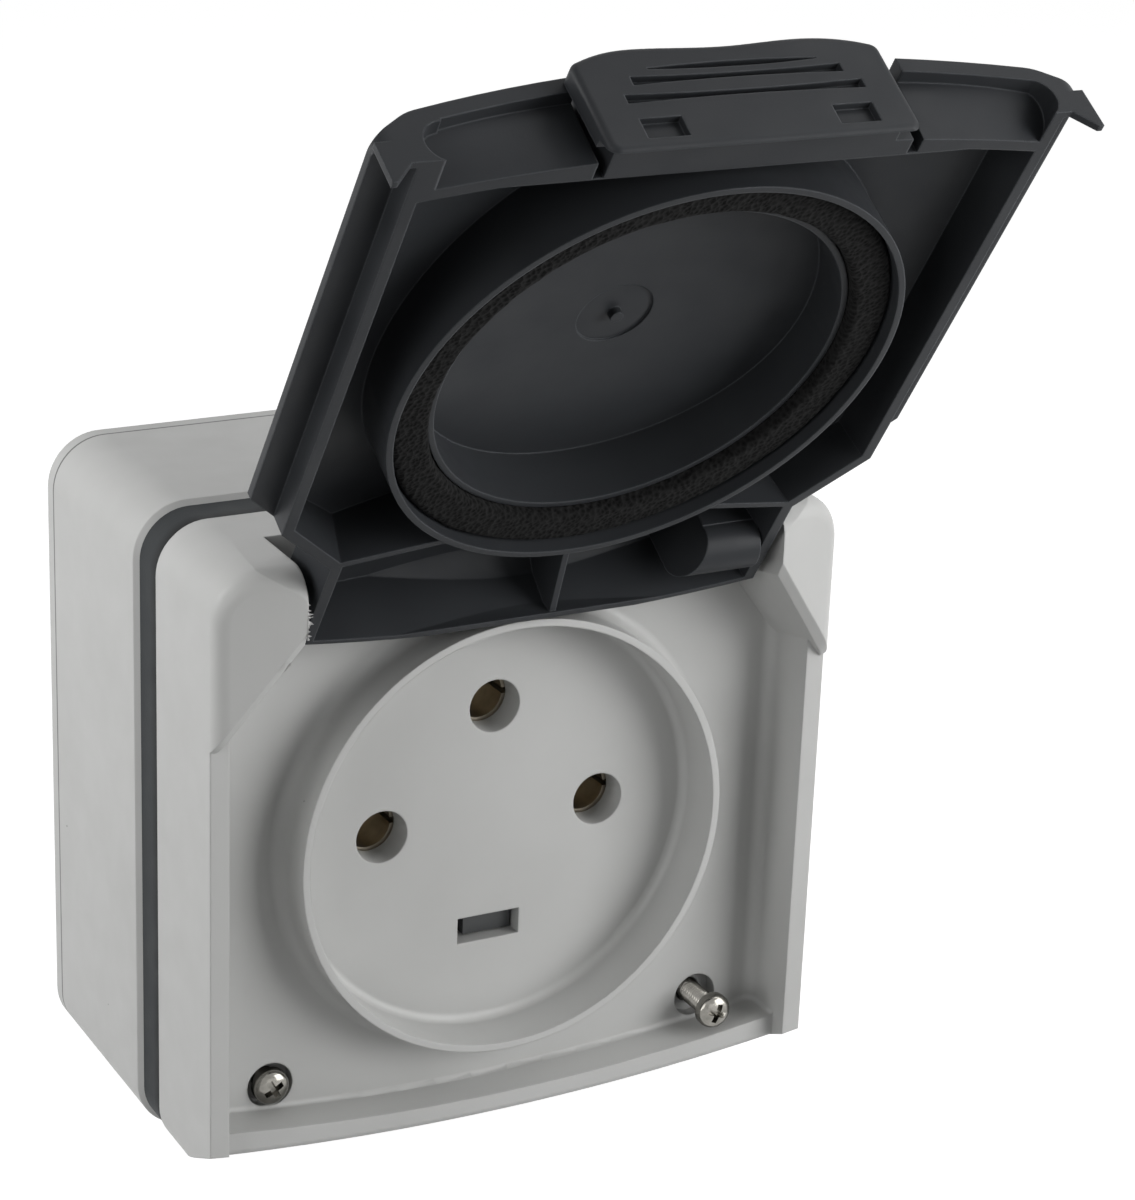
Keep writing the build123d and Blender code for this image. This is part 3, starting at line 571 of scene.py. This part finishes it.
def cover_screw(side):
    """A screw in place of its plain solid, its head towards the front."""
    node_name = f"cover_screw_{side}"
    low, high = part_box(node_name)
    head = add_object("head", screw_head())
    blades = []
    for k, turn in enumerate((0.0, math.pi / 2)):
        blade = add_object(f"blade_{k}", cross_blade(turn + math.radians(screw_turn[side])))
        cut = head.modifiers.new(f"cut_{k}", "BOOLEAN")
        cut.object = blade
        cut.operation = "DIFFERENCE"
        cut.solver = "EXACT"
        blades.append(blade)
    bpy.context.view_layer.update()
    mesh = bpy.data.meshes.new_from_object(head.evaluated_get(bpy.context.evaluated_depsgraph_get()))
    for spare in [head, *blades]:
        bpy.data.objects.remove(spare)
    shape = bmesh.new()
    shape.from_mesh(mesh)
    shape.from_mesh(thread(high.y - low.y - head_height / 2))
    shape.transform(Matrix.Translation(((low.x + high.x) / 2, low.y, (low.z + high.z) / 2))
                    @ Matrix.Rotation(math.pi / 2, 4, "X"))
    made = make_object(f"screw_{side}", to_mesh(shape, f"screw_{side}"), "steel", "housing")
    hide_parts(node_name)


for side in screw_turn:
    cover_screw(side)

# Lid frame: along from hinge to latch, inward towards the closed side
hinge = frame["joints"][0]
lid_open = math.radians(hinge["range_deg"][1])
along = Vector((0, -math.sin(lid_open), -math.cos(lid_open)))
inward = Vector((0, math.cos(lid_open), -math.sin(lid_open)))
hinge_point = Vector(hinge["pos_m"])
well_drop = hinge_point.z
across = Vector((1, 0, 0))
lid_frame = Matrix((across, along, inward)).transposed().to_4x4()
lid_frame.translation = hinge_point + along * well_drop


# Foam seal of the lid
def quarter_round(centre, start):
    """Profile points of a rounded upper edge of the foam, from a starting angle."""
    points = []
    for k in range(foam_round_steps + 1):
        turn = start + math.pi / 2 * k / foam_round_steps
        height = foam_top + foam_round * (math.sin(turn) - 1)
        points.append((centre + foam_round * math.cos(turn), height))
    return points


def foam_ring():
    """Foam seal with soft upper edges and a rough, open surface."""
    outer = foam_outer - foam_round
    inner = foam_inner + foam_round
    width = foam_outer - foam_inner - 2 * foam_round
    profile = [(foam_inner, foam_bottom), (foam_outer, foam_bottom)]
    profile += quarter_round(outer, 0.0)
    profile += [(outer - width * k / foam_top_rows, foam_top) for k in range(1, foam_top_rows)]
    profile += quarter_round(inner, math.pi / 2)
    shape = bmesh.new()
    turned(shape, profile, foam_segments, closed=True)
    shape.normal_update()
    for vert in shape.verts:
        if vert.co.z > 0:
            coarse = foam_coarse_share * noise.noise(vert.co * foam_coarse_scale)
            fine = noise.noise(vert.co * foam_fine_scale) + coarse
            vert.co += vert.normal * foam_rough * (fine - 1.0) / 2
    shape.transform(lid_frame)
    made = make_object("foam_ring", to_mesh(shape, "foam_ring"), "foam", "lid")
    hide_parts("lid_seal")


foam_ring()


# Flash on the left ear
def moulding_flash(name, start, end, reach, steps):
    """Ragged thin skin of plastic along an edge of the left ear, towards the lid."""
    draw = random.Random(flash_seed)
    start = Vector(start) * MM
    end = Vector(end) * MM
    root = Vector((-flash_root, 0.0, 0.0)) * MM
    thick = Vector((0.0, flash_half_thickness, 0.0)) * MM
    shape = bmesh.new()
    rings = []
    for k in range(steps + 1):
        middle = start.lerp(end, k / steps)
        width = reach * draw.uniform(flash_least, 1.0) ** 2
        tip = Vector((width, draw.uniform(*flash_lift), -draw.uniform(0.0, flash_droop) * width)) * MM
        corners = (root - thick, root + thick, tip)
        rings.append([shape.verts.new(middle + corner) for corner in corners])
    capped(shape, rings)
    make_object(f"flash_{name}", to_mesh(shape, f"flash_{name}", smooth=False), "pale_grey", "housing")


for name, settings in flash_edges.items():
    moulding_flash(name, *settings)


# Stage: floor, lamps, world and camera
def seen_ray(tree):
    """1 for rays that show the background, from the camera or through gloss and glass."""
    path = add_node(tree, "ShaderNodeLightPath")
    total = path.outputs["Is Camera Ray"]
    for name in ("Is Glossy Ray", "Is Transmission Ray"):
        either = add_node(tree, "ShaderNodeMath", operation="MAXIMUM")
        tree.links.new(total, either.inputs[0])
        tree.links.new(path.outputs[name], either.inputs[1])
        total = either.outputs["Value"]
    return total


def floor_material():
    """Pale matt surface that shows white and keeps a faint shadow; clear from below."""
    material = bpy.data.materials.new("floor")
    material.use_nodes = True
    tree = material.node_tree
    tree.nodes.clear()
    matt = add_node(tree, "ShaderNodeBsdfDiffuse", {"Color": (floor_grey, floor_grey, floor_grey, 1.0)})
    glow = add_node(tree, "ShaderNodeEmission")
    level = add_node(tree, "ShaderNodeMath", {1: floor_glow}, operation="MULTIPLY")
    both = add_node(tree, "ShaderNodeAddShader")
    clear = add_node(tree, "ShaderNodeBsdfTransparent")
    side = add_node(tree, "ShaderNodeNewGeometry")
    pick = add_node(tree, "ShaderNodeMixShader")
    out = add_node(tree, "ShaderNodeOutputMaterial")
    tree.links.new(seen_ray(tree), level.inputs[0])
    tree.links.new(level.outputs["Value"], glow.inputs["Strength"])
    tree.links.new(matt.outputs["BSDF"], both.inputs[0])
    tree.links.new(glow.outputs["Emission"], both.inputs[1])
    tree.links.new(side.outputs["Backfacing"], pick.inputs["Fac"])
    tree.links.new(both.outputs["Shader"], pick.inputs[1])
    tree.links.new(clear.outputs["BSDF"], pick.inputs[2])
    tree.links.new(pick.outputs["Shader"], out.inputs["Surface"])
    return material


def floor():
    """Wide floor at the foot of the part."""
    level = cad_box[0][2]
    corners = ((-1, -1), (1, -1), (1, 1), (-1, 1))
    mesh = bpy.data.meshes.new("floor")
    mesh.from_pydata([(x * floor_reach, y * floor_reach, level) for x, y in corners], [], [(0, 1, 2, 3)])
    made = add_object("floor", mesh)
    mesh.materials.append(floor_material())


def world():
    """Even soft light from all round, white where it shows."""
    made = bpy.data.worlds.new("studio")
    bpy.context.scene.world = made
    made.use_nodes = True
    tree = made.node_tree
    sky = tree.nodes["Background"]
    strength = spread(tree, seen_ray(tree), ambient, 1.0, start=0.0, end=1.0)
    dress(tree, sky, {"Color": WHITE, "Strength": strength})


def lamp(name, direction, distance, width, strength):
    """Square soft lamp that looks at the middle of the part."""
    light = bpy.data.lights.new(name, "AREA")
    light.size = width
    light.energy = strength
    made = add_object(name, light)
    aim = Vector(direction).normalized()
    target = (Vector(cad_box[0]) + Vector(cad_box[1])) / 2
    made.location = target + aim * distance
    made.rotation_euler = aim.to_track_quat("Z", "Y").to_euler()


def camera():
    """Camera at the photograph's place and angle."""
    lens = bpy.data.cameras.new("camera")
    lens.sensor_fit = "HORIZONTAL"
    lens.sensor_width = camera_sensor
    lens.lens = camera_lens
    lens.clip_start = camera_near
    made = add_object("camera", lens)
    made.location = camera_place
    made.rotation_mode = "QUATERNION"
    made.rotation_quaternion = (camera_forward.to_track_quat("-Z", "Y")
                                @ Quaternion((0, 0, 1), camera_roll))
    bpy.context.scene.camera = made


floor()
world()
for name, settings in lamps.items():
    lamp(name, *settings)
camera()
bpy.context.scene.view_settings.view_transform = "Standard"
